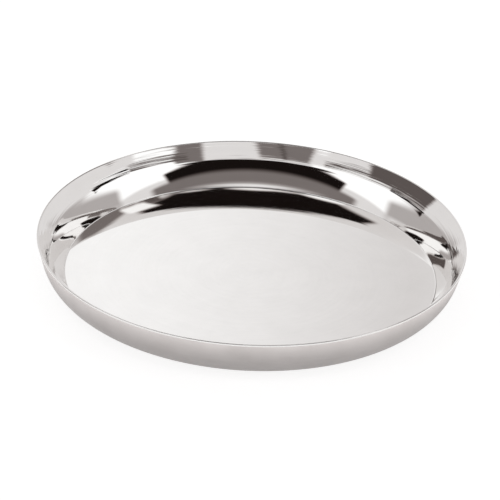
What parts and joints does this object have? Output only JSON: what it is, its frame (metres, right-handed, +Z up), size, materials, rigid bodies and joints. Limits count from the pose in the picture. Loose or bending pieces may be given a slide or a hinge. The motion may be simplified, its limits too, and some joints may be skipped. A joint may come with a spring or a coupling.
{
  "type": "thali plate",
  "caption": "Round double-wall stainless steel thali plate with a mirror-polished dish, flared collar and satin outer shell, for serving a meal.",
  "frame": {"origin": "centre of the plate on the surface that it stands on", "axes": "+Z up along the plate's axis of revolution; X and Y are equal, and the picture is taken looking along +Y"},
  "size_m": [0.2999, 0.3, 0.032],
  "materials": {
    "polished_steel": "mirror polished",
    "satin_steel": "satin",
    "rim_steel": "polished weld",
    "plug_steel": "satin"
  },
  "bodies": {
    "root": {"inner_dish": "polished_steel", "outer_shell": "satin_steel", "rim_weld": "rim_steel", "vent_plug": "plug_steel"}
  },
  "joints": []
}
